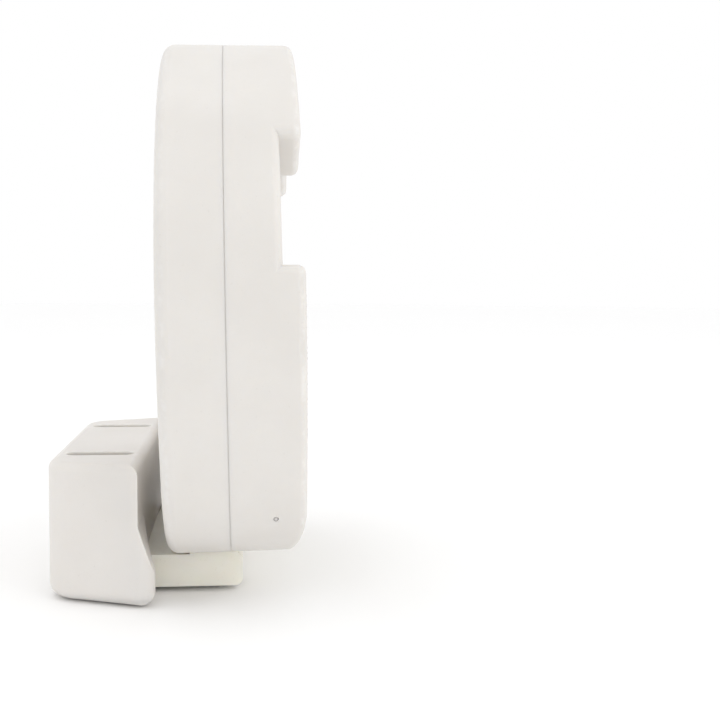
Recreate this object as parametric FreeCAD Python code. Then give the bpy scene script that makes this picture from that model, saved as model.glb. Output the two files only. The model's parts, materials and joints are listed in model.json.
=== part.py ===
import FreeCAD, Part
import math
import os

# Hinged toilet seat riser, in millimetres.
# Row frame: X across, the front of the riser towards -Y, Z up. The origin is on the bowl's
# deck plane, midway between the two seat-bolt slots. The ring is drawn lying flat on the bowl
# and is then turned up about its hinge, which is how the part is stored.
# "s" is the distance forward of the ring's rear end, measured with the ring lying flat.
# Left and right are as seen by someone facing the front.

# Overall sizes
DECK_TOP = 89.0            # the riser adds three and a half inches
RING_HALF_WIDTH = 173.0
RING_LENGTH = 344.0
BLOCK_DEPTH = 60.0
SLOT_SPACING = 140.0       # standard spacing of seat bolts
BLOCK_REAR_BEYOND = 32.0   # the block reaches this far beyond each slot's middle at the rear
BLOCK_FRONT_BEYOND = 62.0  # and this far at the front
BLOCK_REAR_HALF = SLOT_SPACING / 2 + BLOCK_REAR_BEYOND
BLOCK_FRONT_HALF = SLOT_SPACING / 2 + BLOCK_FRONT_BEYOND
PAD_PROUD = 0.8            # the grip pads stand this far below the mouldings
WALL = 3.5                 # moulded wall of ring and block

# Hinge
HINGE_S = 37.0
HINGE_BELOW_DECK = 25.0
HINGE_Z = DECK_TOP - HINGE_BELOW_DECK
RAISE_ANGLE = 91.0
SWING_GAP = 0.8            # the heel stays this far above the bowl as the ring swings
PIN_R = 4.0
PIN_HEAD_R = 5.8
PIN_HEAD = 3.0
PIN_RUNNING = 0.05         # radial running clearance of each pin in its bush
SNUG = 0.05                # radial clearance of parts that do not move on each other
BUSH_R = 7.0
BUSH_LENGTH = 14.0
BUSH_FLANGE_R = 10.0
BUSH_FLANGE = 1.5
BOSS_R = 12.0
KNUCKLE_R = 11.0
KNUCKLE_GAP = 3.0          # between the knuckle and the roof of the ring's pocket
LOCK_THICK = 3.0
BUFFER_X = 48.0
BUFFER_S = 20.0
BUFFER_WIDTH = 18.0
BUFFER_DEPTH = 9.0
BUFFER_HEIGHT = 2.4
BUFFER_GAP = 0.2           # between the buffers and the raised ring

# Tongue
TONGUE_FRONT = 61.0
TONGUE_BOTTOM = 3.0
TONGUE_WALL = 4.5
TONGUE_END_GAP = 0.7       # between the tongue's end and each bush flange
TONGUE_FRONT_GAP = 5.0     # between the tongue's front and the pocket's front wall
PIN_WEB = 15.0             # thickness of the tongue's end webs
TONGUE_RIB = 4.0
TONGUE_RIB_X = 38.0

# Pocket in the ring for the hinge tongue
POCKET_HALF_WIDTH = 88.0
POCKET_FRONT = TONGUE_FRONT + TONGUE_FRONT_GAP
POCKET_TOP = HINGE_Z + KNUCKLE_R + KNUCKLE_GAP
POCKET_CORNER_R = 8.0

# Ring outline
RING_WIDEST = 156.0        # s of the widest station
RING_NOSE_ROUND = 0.5665   # roundness of each end of the outline, from 0, pointed, to 1, blunt
RING_REAR_ROUND = 0.8388
RING_REAR_FLAT = 82.0      # half the length of the straight rear edge

# Seat opening
SIDE_RIM = 66.0
FRONT_RIM = 45.0
REAR_WEB = 10.0            # between the pocket's front wall and the opening
HOLE_HALF_WIDTH = RING_HALF_WIDTH - SIDE_RIM
HOLE_REAR = POCKET_FRONT + REAR_WEB
HOLE_LENGTH = RING_LENGTH - FRONT_RIM - HOLE_REAR
HOLE_WIDEST = 106.0
HOLE_NOSE_ROUND = 0.7944
HOLE_REAR_ROUND = 0.8643
HOLE_REAR_FLAT = 28.0

# Ring section
DECK_EDGE_R = 8.0
HOLE_LIP_R = 11.0
BASE_EDGE_R = 5.0
FOOT_CORNER_R = 6.0
REAR_TOP_R = 14.0
REAR_HEEL_R = 12.0
PARTING_Z = 0.54 * DECK_TOP  # where the ring's two mouldings meet
SEAM_DEPTH = 0.35
SEAM_HEIGHT = 0.6
NOTCH_RISE = 13.6          # how far the underside steps up between the feet
REAR_FOOT_END = 187.0      # s where the rear foot stops
FRONT_FOOT_START = 245.0   # s where the front foot starts, near the opening
FRONT_FOOT_INNER = 95.0    # half width where the front foot's end begins to slant
FRONT_FOOT_SLOPE = 0.5     # forward run per unit of width outside that
WELL_X = RING_HALF_WIDTH - 47.0
WELLS = [(WELL_X, RING_WIDEST - 44.0), (WELL_X + 1.0, RING_WIDEST), (WELL_X, RING_WIDEST + 58.0)]
WELL_HALF = 4.5
WELL_LENGTH = 26.0
WELL_WALL = 2.5
WELL_TOP = DECK_TOP - WALL - 3.5
VENT_S = 32.0
VENT_Z = 20.0
VENT_R = 1.6

# Block
BLOCK_TOP = DECK_TOP + 1.0
SLOT_HALF_WIDTH = 7.0
SLOT_LENGTH = 44.0
SLOT_RIM_R = 1.2
BLOCK_FRONT_GAP = 4.0      # block's upright front face to the ring's rear end
BLOCK_TOE = 6.0            # how far the ends reach forward at the bottom
BLOCK_TOE_TOP = 22.0       # where the toe ends and the front face starts to lean back
BLOCK_FACE_FOOT = 52.0     # where the leaning face meets the upright one
BLOCK_REAR_R = 24.0
BLOCK_FRONT_R = 7.0
BLOCK_EDGE_R = 6.0
BLOCK_FOOT_R = 9.0
RING_CLEAR = 3.0           # gap kept round the lowered ring
BASE_THICK = 5.0
BASE_TOP = PAD_PROUD + BASE_THICK
SLEEVE_WALL = 2.6
FIT_GAP = 0.3              # between mouldings that slide together
SLOT_BEHIND = BLOCK_FRONT_GAP + BLOCK_DEPTH / 2 - 1.0  # slots' centre behind the ring's rear end
BLOCK_REAR = -BLOCK_FRONT_GAP - BLOCK_DEPTH
TAIL_REAR = BLOCK_REAR + 14.0
TAIL_SIDE_GAP = 5.4        # between the tongue's tail and each sleeve
TAIL_HALF_WIDTH = SLOT_SPACING / 2 - SLOT_HALF_WIDTH - SLEEVE_WALL - TAIL_SIDE_GAP

# Fasteners
SCREW_R = 2.4
SCREW_LENGTH = 17.0
SCREW_HEAD_R = 4.6
SCREW_HEAD = 2.6
HEAD_RECESS = 3.0
BOSS_WALL = 3.2
SCREW_X_REAR = SLOT_SPACING / 2 + 18.0
SCREW_X_FRONT = SLOT_SPACING / 2 + 30.0
SCREW_S_REAR = BLOCK_REAR + 14.0
SCREW_S_FRONT = -BLOCK_FRONT_GAP - 8.0
BASE_SCREWS = [(SCREW_X_REAR, SCREW_S_REAR), (-SCREW_X_REAR, SCREW_S_REAR),
               (SCREW_X_FRONT, SCREW_S_FRONT), (-SCREW_X_FRONT, SCREW_S_FRONT)]
SCREW_X_TAIL = TAIL_HALF_WIDTH - 11.0
SCREW_S_TAIL = TAIL_REAR + 26.0
TONGUE_SCREWS = [(SCREW_X_TAIL / 2, SCREW_S_TAIL), (-SCREW_X_TAIL / 2, SCREW_S_TAIL),
                 (SCREW_X_TAIL, SCREW_S_TAIL), (-SCREW_X_TAIL, SCREW_S_TAIL)]

# Grip pads
PAD_THICK = 2.2
PAD_INSET = 15.0
PAD_WIDTH = 17.0
PAD_FROM_SLOT = 13.0       # from a slot's middle line to the pads beside it
END_PAD_LENGTH = 18.0
END_PAD_BEHIND = 9.0       # reach of the end pads behind and ahead of the slots' middle
END_PAD_AHEAD = 13.0
MIDDLE_PAD_BEHIND = 21.0
MIDDLE_PAD_AHEAD = 18.0
FRONT_PAD_X = (22.0, 92.0)
FRONT_PAD_S = 278.0        # the front foot's pads start here
REAR_PAD_X = 100.0
REAR_PAD_S = 80.0          # and the rear foot's here
REAR_PAD_END_GAP = 14.0    # between a rear pad's end and the foot's


def fwd(s):
    """Row Y of a point s forward of the lowered ring's rear end."""
    return -SLOT_BEHIND - s


def vec(x, s, z=0.0):
    return FreeCAD.Vector(x, fwd(s), z)


def polar(centre, radius, angle):
    return (centre[0] + radius * math.cos(angle), centre[1] + radius * math.sin(angle))


def plan_arc(start, middle, end):
    return Part.Arc(vec(*start), vec(*middle), vec(*end)).toShape()


def quarter_radii(across, along, roundness):
    """Radii of the side arc and the end arc that make a quarter of an oval, across by along."""
    short = min(across, along)
    tight = roundness * short
    wide = (across ** 2 + along ** 2 - 2 * max(across, along) * tight) / (2 * (short - tight))
    return (wide, tight) if along > across else (tight, wide)


def touch_angle(side, side_r, end, end_r):
    """Direction in which a quarter's side arc and end arc touch, from either centre."""
    turn = 1 if side_r > end_r else -1
    return math.atan2(turn * (end[1] - side[1]), turn * (end[0] - side[0]))


def oval_face(half_width, rear, length, widest, nose_round, rear_round, rear_flat, inset=0.0):
    """Egg-shaped plan of tangent arcs with a straight rear edge; inset moves every side inwards."""
    front_r, nose_r = quarter_radii(half_width, length - widest, nose_round)
    side_r, corner_r = quarter_radii(half_width - rear_flat, widest, rear_round)
    nose = (0.0, rear + length - nose_r)
    front = (half_width - front_r, rear + widest)
    side = (half_width - side_r, rear + widest)
    corner = (rear_flat, rear + corner_r)
    lead = touch_angle(front, front_r, nose, nose_r)
    trail = touch_angle(side, side_r, corner, corner_r)
    quarter = math.pi / 2
    right = [
        polar(corner, corner_r - inset, -quarter),
        polar(corner, corner_r - inset, (trail - quarter) / 2),
        polar(side, side_r - inset, trail),
        polar(side, side_r - inset, trail / 2),
        polar(side, side_r - inset, 0.0),
        polar(front, front_r - inset, lead / 2),
        polar(front, front_r - inset, lead),
    ]
    tip = polar(nose, nose_r - inset, quarter)
    left = [(-x, s) for x, s in reversed(right)]
    edges = []
    for i in (0, 2, 4):
        edges.append(plan_arc(right[i], right[i + 1], right[i + 2]))
    edges.append(plan_arc(right[6], tip, left[0]))
    for i in (0, 2, 4):
        edges.append(plan_arc(left[i], left[i + 1], left[i + 2]))
    edges.append(Part.LineSegment(vec(*left[6]), vec(*right[0])).toShape())
    return Part.Face(Part.Wire(edges))


def ring_outline(inset=0.0):
    return oval_face(RING_HALF_WIDTH, 0.0, RING_LENGTH, RING_WIDEST, RING_NOSE_ROUND,
                     RING_REAR_ROUND, RING_REAR_FLAT, inset)


def hole_outline(inset=0.0):
    return oval_face(HOLE_HALF_WIDTH, HOLE_REAR, HOLE_LENGTH, HOLE_WIDEST, HOLE_NOSE_ROUND,
                     HOLE_REAR_ROUND, HOLE_REAR_FLAT, inset)


def raise_face(face, low, high):
    lifted = face.copy()
    lifted.translate(FreeCAD.Vector(0, 0, low))
    return lifted.extrude(FreeCAD.Vector(0, 0, high - low))


def plan_prism(points, low, high):
    """Upright prism over plan points given as (x, s)."""
    corners = [vec(x, s, low) for x, s in points]
    face = Part.Face(Part.makePolygon(corners + corners[:1]))
    return face.extrude(FreeCAD.Vector(0, 0, high - low))


def box(x0, x1, s0, s1, z0, z1):
    return Part.makeBox(x1 - x0, s1 - s0, z1 - z0, FreeCAD.Vector(x0, fwd(s1), z0))


def rod(radius, x0, x1, s, z):
    return Part.makeCylinder(radius, x1 - x0, vec(x0, s, z), FreeCAD.Vector(1, 0, 0))


def post(radius, x, s, z0, z1):
    return Part.makeCylinder(radius, z1 - z0, vec(x, s, z0))


def side_face(steps):
    """Face in the side view. Steps are (s, z) corners, or (s, z, s, z) for an arc through two points."""
    edges = []
    last = steps[0]
    for step in steps[1:]:
        start = vec(0, last[-2], last[-1])
        end = vec(0, step[-2], step[-1])
        if len(step) == 4:
            edges.append(Part.Arc(start, vec(0, step[0], step[1]), end).toShape())
        else:
            edges.append(Part.LineSegment(start, end).toShape())
        last = step
    return Part.Face(Part.Wire(edges))


def side_prism(steps, x0, x1):
    face = side_face(steps)
    face.translate(FreeCAD.Vector(x0, 0, 0))
    return face.extrude(FreeCAD.Vector(x1 - x0, 0, 0))


def mirror_x(shape):
    return shape.mirror(FreeCAD.Vector(0, 0, 0), FreeCAD.Vector(1, 0, 0))


def edges_at(shape, z):
    """Edges that lie wholly at height z."""
    found = []
    for edge in shape.Edges:
        bounds = edge.BoundBox
        if abs(bounds.ZMin - z) < 0.01 and abs(bounds.ZMax - z) < 0.01:
            found.append(edge)
    return found


def upright_edges(shape):
    return [edge for edge in shape.Edges if edge.BoundBox.ZLength > 1
            and edge.BoundBox.XLength < 0.01 and edge.BoundBox.YLength < 0.01]


def one_solid(shape):
    """The largest solid of a result, with its seams merged."""
    clean = shape.removeSplitter()
    return max(clean.Solids, key=lambda solid: solid.Volume)


# Ring

def in_hole(edge):
    """True for an edge that belongs to the seat opening."""
    middle = edge.valueAt((edge.FirstParameter + edge.LastParameter) / 2)
    point = FreeCAD.Vector(middle.x, middle.y, 0)
    limit = hole_outline(-2.0)
    return limit.isInside(point, 0.01, True)


def ring_upper(inset):
    """The ring's full-length slab, from the notch plane to the deck."""
    low = PAD_PROUD + NOTCH_RISE + inset
    high = DECK_TOP - inset
    slab = raise_face(ring_outline(inset), low, high)
    slab = slab.cut(raise_face(hole_outline(-inset), low - 1, high + 1))
    if inset == 0.0:
        rim = [edge for edge in edges_at(slab, high) if not in_hole(edge)]
        slab = slab.makeFillet(DECK_EDGE_R, rim)
        lip = [edge for edge in edges_at(slab, high) if in_hole(edge)]
        slab = slab.makeFillet(HOLE_LIP_R, lip)
        slab = slab.makeFillet(BASE_EDGE_R, edges_at(slab, low))
    return slab


def foot_plan(front, inset):
    """Plan prism that keeps only the rear foot's or the front foot's share of the ring."""
    far = RING_HALF_WIDTH + 60
    top = PARTING_Z
    if not front:
        end = REAR_FOOT_END - inset
        return plan_prism([(-far, -20), (far, -20), (far, end), (-far, end)], 0, top)
    start = FRONT_FOOT_START + inset
    inner = FRONT_FOOT_INNER - inset * 0.4
    reach = start + (far - inner) * FRONT_FOOT_SLOPE
    ahead = max(reach, RING_LENGTH) + 50
    return plan_prism([(-inner, start), (inner, start), (far, reach), (far, ahead),
                       (-far, ahead), (-far, reach)], 0, top)


def sharp_corner(edge, front):
    """True for the upright edges where a foot's end face meets the ring's walls."""
    s = -SLOT_BEHIND - edge.Vertexes[0].Point.y
    x = abs(edge.Vertexes[0].Point.x)
    if not front:
        return abs(s - REAR_FOOT_END) < 0.5
    slant = FRONT_FOOT_START + max(0.0, x - FRONT_FOOT_INNER) * FRONT_FOOT_SLOPE
    return abs(s - slant) < 0.5 and abs(x - FRONT_FOOT_INNER) > 1


def ring_foot(front, inset):
    """One foot of the ring, reaching from the bowl up to the parting plane."""
    low = PAD_PROUD + inset
    slab = raise_face(ring_outline(inset), low, PARTING_Z - inset)
    slab = slab.common(foot_plan(front, inset))
    slab = slab.cut(raise_face(hole_outline(-inset), low - 1, PARTING_Z + 1))
    if inset == 0.0:
        upright = [edge for edge in upright_edges(slab) if sharp_corner(edge, front)]
        slab = slab.makeFillet(FOOT_CORNER_R, upright)
        slab = slab.makeFillet(BASE_EDGE_R, edges_at(slab, low))
    return slab


def ring_keep(inset):
    """Side view of what the ring may fill: round at the rear top, and a heel that clears the bowl."""
    swing = HINGE_Z - SWING_GAP - inset
    heel = REAR_HEEL_R - inset
    round_top = REAR_TOP_R - inset
    run = HINGE_S - REAR_HEEL_R
    drop = math.sqrt((HINGE_Z - SWING_GAP - REAR_HEEL_R) ** 2 - run ** 2)
    heel_z = HINGE_Z - drop
    slope = math.atan2(drop, run)
    meet = (HINGE_S - swing * math.cos(slope), HINGE_Z - swing * math.sin(slope))
    half = (slope + math.pi / 2) / 2
    mid = (HINGE_S - swing * math.cos(half), HINGE_Z - swing * math.sin(half))
    bend = (REAR_HEEL_R - heel * math.cos(slope / 2), heel_z - heel * math.sin(slope / 2))
    top_z = DECK_TOP - REAR_TOP_R
    diagonal = round_top * math.sqrt(0.5)
    far = RING_LENGTH + 60
    steps = [
        (far, -10), (HINGE_S, -10), (HINGE_S, HINGE_Z - swing),
        mid + meet, bend + (inset, heel_z),
        (inset, top_z),
        (REAR_TOP_R - diagonal, top_z + diagonal, REAR_TOP_R, DECK_TOP - inset),
        (REAR_TOP_R, DECK_TOP + 20), (far, DECK_TOP + 20), (far, -10),
    ]
    return side_prism(steps, -RING_HALF_WIDTH - 60, RING_HALF_WIDTH + 60)


def ring_mass(inset=0.0):
    """The ring's outside as one solid, or its inside when inset by the wall."""
    body = ring_upper(inset).fuse([ring_foot(False, inset), ring_foot(True, inset)])
    return one_solid(body.common(ring_keep(inset)))


def pocket(grow=0.0):
    """Space under the ring's rear that takes the tongue, open to the rear and below."""
    front = POCKET_FRONT + grow
    top = POCKET_TOP + grow
    corner = POCKET_CORNER_R + grow
    diagonal = corner * math.sqrt(0.5)
    steps = [
        (-20, -10), (front, -10), (front, top - corner),
        (front - corner + diagonal, top - corner + diagonal, front - corner, top),
        (-20, top), (-20, -10),
    ]
    half = POCKET_HALF_WIDTH + grow
    return side_prism(steps, -half, half)


def well_turn(x, s):
    """Angle that lays a well along the rim."""
    return math.degrees(math.atan2(x, s - RING_WIDEST)) - 90


def wells(grow, top):
    """Oblong stiffening wells that run up from the underside to just below the deck."""
    tools = []
    for x, s in WELLS:
        half = WELL_HALF + grow
        run = WELL_LENGTH / 2 - WELL_HALF
        slot = Part.makeBox(2 * half, 2 * run, top + 10, FreeCAD.Vector(-half, -run, -10))
        ends = [Part.makeCylinder(half, top + 10, FreeCAD.Vector(0, end, -10)) for end in (-run, run)]
        tool = slot.fuse(ends)
        tool.rotate(FreeCAD.Vector(0, 0, 0), FreeCAD.Vector(0, 0, 1), well_turn(x, s))
        tool.translate(vec(x, s))
        tools += [tool, mirror_x(tool)]
    return tools


def rim_band(x0, x1, s0, s1, low, high, grow=0.0):
    """Slice of a band that follows the ring's outline, for one grip pad."""
    outer = raise_face(ring_outline(PAD_INSET - grow), low, high)
    inner = raise_face(ring_outline(PAD_INSET + PAD_WIDTH + grow), low - 1, high + 1)
    return outer.cut(inner).common(box(x0 - grow, x1 + grow, s0 - grow, s1 + grow, low, high))


def rim_pad(front, side, grow=0.0):
    """Rubber strip under one foot; side is +1 for the right."""
    high = PAD_THICK
    if front:
        strip = rim_band(*FRONT_PAD_X, FRONT_PAD_S, RING_LENGTH, 0, high, grow)
    else:
        end = REAR_FOOT_END - REAR_PAD_END_GAP
        strip = rim_band(REAR_PAD_X, RING_HALF_WIDTH, REAR_PAD_S, end, 0, high, grow)
    strip = max(strip.Solids, key=lambda solid: solid.Volume)
    return strip if side > 0 else mirror_x(strip)


def seam_groove():
    """Fine groove where the two mouldings meet."""
    low = PARTING_Z - SEAM_HEIGHT / 2
    high = PARTING_Z + SEAM_HEIGHT / 2
    return raise_face(ring_outline(-5.0), low, high).cut(raise_face(ring_outline(SEAM_DEPTH), low, high))


def bush_bore():
    """Bore for one hinge bush, on the right."""
    end = POCKET_HALF_WIDTH + BUSH_LENGTH + 0.5
    return rod(BUSH_R + SNUG, POCKET_HALF_WIDTH - 1, end, HINGE_S, HINGE_Z)


def vent_rod(radius, inner, outer):
    """Rod across the ring's left wall at the vent, from inner to outer beyond the wall's face."""
    wall = raise_face(ring_outline(), VENT_Z - 1, VENT_Z + 1)
    line = Part.LineSegment(vec(60, VENT_S, VENT_Z), vec(RING_HALF_WIDTH + 40, VENT_S, VENT_Z)).toShape()
    face_x = line.common(wall).BoundBox.XMax
    return mirror_x(rod(radius, face_x + inner, face_x + outer, VENT_S, VENT_Z))


def ring_shells():
    """Deck and base mouldings of the hollow ring."""
    outside = ring_mass()
    cavity = ring_mass(WALL)
    boss = rod(BOSS_R, POCKET_HALF_WIDTH, POCKET_HALF_WIDTH + BUSH_LENGTH + 3, HINGE_S, HINGE_Z)
    cavity = cavity.cut([pocket(WALL), boss, mirror_x(boss)] + wells(WELL_WALL, WELL_TOP + WELL_WALL))
    ring = outside.cut([cavity, pocket(), bush_bore(), mirror_x(bush_bore()), seam_groove()])
    ring = ring.cut(wells(0.0, WELL_TOP))
    recesses = [rim_pad(front, side, SNUG) for front in (True, False) for side in (1, -1)]
    ring = ring.cut(recesses + [vent_rod(VENT_R + SNUG, -12.0, 12.0)])
    far = RING_HALF_WIDTH + 50
    upper = box(-far, far, -30, RING_LENGTH + 30, PARTING_Z, DECK_TOP + 10)
    lower = box(-far, far, -30, RING_LENGTH + 30, -10, PARTING_Z)
    return one_solid(ring.common(upper)), one_solid(ring.common(lower))


def vent_plug():
    """Small plug in the wall's blow vent, with its face just below the wall."""
    return vent_rod(VENT_R, -5.0, -0.9)


def hinge_bush():
    """Flanged bush in the ring's pocket wall, on the right."""
    inner = POCKET_HALF_WIDTH - BUSH_FLANGE
    outer = POCKET_HALF_WIDTH + BUSH_LENGTH
    sleeve = rod(BUSH_R, POCKET_HALF_WIDTH - 0.5, outer, HINGE_S, HINGE_Z)
    flange = rod(BUSH_FLANGE_R, inner, POCKET_HALF_WIDTH, HINGE_S, HINGE_Z)
    bore = rod(PIN_R + PIN_RUNNING, inner - 1, outer + 1, HINGE_S, HINGE_Z)
    bush = one_solid(sleeve.fuse(flange).cut(bore))
    rim = [e for e in bush.Edges if abs(e.BoundBox.XMin - inner) < 0.01 and e.BoundBox.XLength < 0.01
           and e.BoundBox.ZLength > 2 * BUSH_R]
    return bush.makeChamfer(0.4, rim)


# Tongue, block and fasteners

def stop_height():
    """Height of the raised ring's pocket edge, the lowest point over the tongue."""
    angle = math.radians(RAISE_ANGLE)
    across = REAR_TOP_R - math.sqrt(REAR_TOP_R ** 2 - (POCKET_TOP - DECK_TOP + REAR_TOP_R) ** 2)
    behind = across - HINGE_S
    above = POCKET_TOP - HINGE_Z
    return HINGE_Z + behind * math.sin(angle) + above * math.cos(angle)


def tongue_top():
    """Top of the tongue's foot, a buffer's height under the raised ring."""
    return stop_height() - BUFFER_GAP - BUFFER_HEIGHT


def block_plan(inset, low, high):
    """Block outline: wider at the front, with large corners at the rear."""
    rear = BLOCK_REAR + inset
    front = BLOCK_TOE - inset
    back = BLOCK_REAR_HALF - inset
    wide = BLOCK_FRONT_HALF - inset
    prism = plan_prism([(-back, rear), (back, rear), (wide, front), (-wide, front)], low, high)
    at_rear = [e for e in upright_edges(prism) if abs(e.Vertexes[0].Point.y - fwd(rear)) < 0.01]
    prism = prism.makeFillet(BLOCK_REAR_R - inset, at_rear)
    at_front = [e for e in upright_edges(prism) if abs(e.Vertexes[0].Point.y - fwd(front)) < 0.01]
    return prism.makeFillet(BLOCK_FRONT_R - inset, at_front)


def block_side(inset):
    """Block in the side view: the front face is upright above and slopes forward to a toe."""
    face_s = -BLOCK_FRONT_GAP - inset
    toe = BLOCK_TOE - inset
    rear = BLOCK_REAR - 20
    steps = [(rear, -10), (toe, -10), (toe, BLOCK_TOE_TOP), (face_s, BLOCK_FACE_FOOT),
             (face_s, BLOCK_TOP + 10), (rear, BLOCK_TOP + 10), (rear, -10)]
    return side_prism(steps, -BLOCK_FRONT_HALF - 20, BLOCK_FRONT_HALF + 20)


def block_mass(inset, low, high, foot_r=0.0):
    """Block clear of the ring; foot_r rounds its bottom edge."""
    body = block_plan(inset, low, high)
    if foot_r > 0:
        body = body.makeFillet(foot_r, edges_at(body, low))
    body = body.common(block_side(inset))
    near_ring = raise_face(ring_outline(-RING_CLEAR - inset), -20, BLOCK_TOP + 20)
    half = POCKET_HALF_WIDTH + 1.0 + inset
    at_tongue = box(-half, half, -BLOCK_FRONT_GAP - inset, 60, -20, BLOCK_TOP + 20)
    return one_solid(body.cut([near_ring, at_tongue]))


def slot_tool(side, grow, low, high):
    """Oblong for one seat bolt; side is +1 for the right."""
    half = SLOT_HALF_WIDTH + grow
    run = SLOT_LENGTH / 2 - SLOT_HALF_WIDTH
    x = side * SLOT_SPACING / 2
    slot = Part.makeBox(2 * half, 2 * run, high - low, FreeCAD.Vector(x - half, -run, low))
    ends = [Part.makeCylinder(half, high - low, FreeCAD.Vector(x, y, low)) for y in (-run, run)]
    return slot.fuse(ends).removeSplitter()


def tail_tool(grow, z0, z1):
    """Opening in the block's front for the tongue's tail."""
    return box(-TAIL_HALF_WIDTH - grow, TAIL_HALF_WIDTH + grow, TAIL_REAR - grow, 20, z0, z1)


def block_housing():
    """Moulded block, open below, with its two bolt slots and screw bosses."""
    body = block_mass(0.0, PAD_PROUD, BLOCK_TOP, BLOCK_FOOT_R)
    body = body.makeFillet(BLOCK_EDGE_R, edges_at(body, BLOCK_TOP))
    hollow = block_mass(WALL, -5, BLOCK_TOP - WALL)
    for x, s in BASE_SCREWS:
        hollow = hollow.cut(post(SCREW_R + BOSS_WALL, x, s, BASE_TOP, BLOCK_TOP))
    body = body.cut([hollow, tail_tool(FIT_GAP, -5, tongue_top() + FIT_GAP)])
    holes = [post(SCREW_R + SNUG, x, s, BASE_TOP - 1, BASE_TOP + SCREW_LENGTH) for x, s in BASE_SCREWS]
    slots = [slot_tool(side, 0.0, BLOCK_TOP - 12, BLOCK_TOP + 5) for side in (1, -1)]
    body = one_solid(body.cut(holes + slots))
    rims = [e for e in edges_at(body, BLOCK_TOP) if abs(e.CenterOfMass.y) < SLOT_LENGTH / 2 + 1
            and abs(abs(e.CenterOfMass.x) - SLOT_SPACING / 2) < SLOT_HALF_WIDTH + 1]
    return body.makeFillet(SLOT_RIM_R, rims)


def screw_holes(places, low, high, radius):
    return [post(radius, x, s, low, high) for x, s in places]


def block_base():
    """Plate that closes the block below and carries its screws."""
    plate = block_mass(WALL + FIT_GAP, PAD_PROUD, BASE_TOP)
    plate = plate.common(block_mass(0.0, PAD_PROUD, BLOCK_TOP, BLOCK_FOOT_R))
    places = BASE_SCREWS + TONGUE_SCREWS
    tools = screw_holes(places, -1, BASE_TOP + 1, SCREW_R + 0.3)
    tools += screw_holes(places, -1, PAD_PROUD + HEAD_RECESS, SCREW_HEAD_R + 0.4)
    tools += [slot_tool(side, 0.0, -1, BASE_TOP + 1) for side in (1, -1)]
    tools += grip_pad_solids(SNUG)
    return one_solid(plate.cut(tools))


def soft_pad(x0, x1, y0, y1, corner):
    """Flat rubber pad with rounded corners, standing proud of the base plate."""
    pad = Part.makeBox(x1 - x0, y1 - y0, PAD_THICK, FreeCAD.Vector(x0, y0, 0))
    return pad.makeFillet(corner, upright_edges(pad))


def grip_pad_solids(grow=0.0):
    """Rubber pads under the block: one between the slots, and one beyond each slot."""
    inner = SLOT_SPACING / 2 - PAD_FROM_SLOT + grow
    middle = soft_pad(-inner, inner, -MIDDLE_PAD_AHEAD - grow, MIDDLE_PAD_BEHIND + grow, 6.0 + grow)
    heads = screw_holes(TONGUE_SCREWS, -1, PAD_THICK + 1, SCREW_HEAD_R + 1.4 - grow)
    start = SLOT_SPACING / 2 + PAD_FROM_SLOT
    end = soft_pad(start - grow, start + END_PAD_LENGTH + grow, -END_PAD_AHEAD - grow,
                   END_PAD_BEHIND + grow, 4.0 + grow)
    return [one_solid(middle.cut(heads)), end, mirror_x(end)]


def slot_sleeve(side):
    """Oblong tube that carries the bolt's clamping load from top to base."""
    high = BLOCK_TOP - WALL
    return slot_tool(side, SLEEVE_WALL, BASE_TOP, high).cut(slot_tool(side, 0.0, BASE_TOP - 1, high + 1))


def tongue_side(shrink=0.0):
    """Side view of the tongue's foot and knuckle; shrink moves it inwards for the hollow."""
    knuckle = KNUCKLE_R - shrink
    rear = -BLOCK_FRONT_GAP + 0.8 + shrink
    front = TONGUE_FRONT - shrink
    low = TONGUE_BOTTOM + shrink
    high = tongue_top() - shrink
    toe = 5.0
    diagonal = toe * math.sqrt(0.5)
    heel = HINGE_S - KNUCKLE_R + shrink
    hinge = (HINGE_S, HINGE_Z)
    touch = polar(hinge, knuckle, math.radians(30))
    crown = polar(hinge, knuckle, math.radians(90))
    crown_mid = polar(hinge, knuckle, math.radians(60))
    back_mid = polar(hinge, knuckle, math.radians(135))
    slope = math.tan(math.radians(60))
    foot_s = min(touch[0] + (touch[1] - high) / slope, front - 1.0)
    return [
        (rear, low), (front - toe, low),
        (front - toe + diagonal, low + toe - diagonal, front, low + toe),
        (front, high - 2.0), (front - 2.0, high), (foot_s - 2.0, high),
        touch, crown_mid + crown, back_mid + (heel, HINGE_Z),
        (heel, high), (rear, high), (rear, low),
    ]


def tongue_half():
    return POCKET_HALF_WIDTH - BUSH_FLANGE - TONGUE_END_GAP


def hinge_tongue():
    """Cream moulding: foot and knuckle ahead of the block, and a tail screwed inside it."""
    half = tongue_half()
    body = side_prism(tongue_side(), -half, half)
    tail_z = BASE_TOP
    tail = box(-TAIL_HALF_WIDTH, TAIL_HALF_WIDTH, TAIL_REAR, 8, tail_z, tongue_top())
    body = body.fuse(tail)
    web = half - PIN_WEB
    rib = TONGUE_RIB / 2
    split = TONGUE_RIB_X
    cells = [(-web, -split - rib), (-split + rib, -rib), (rib, split - rib), (split + rib, web)]
    for x0, x1 in cells:
        core = side_prism(tongue_side(TONGUE_WALL), x0, x1)
        mouth = box(x0, x1, TONGUE_WALL + 4, TONGUE_FRONT - TONGUE_WALL - 2, -1, tongue_top() - TONGUE_WALL)
        body = body.cut(core.fuse(mouth))
    for x, s in TONGUE_SCREWS:
        body = body.cut(post(SCREW_R + SNUG, x, s, tail_z - 1, tail_z + SCREW_LENGTH - 2))
    body = body.cut(rod(PIN_R + SNUG, -half - 1, half + 1, HINGE_S, HINGE_Z))
    return one_solid(body)


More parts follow.
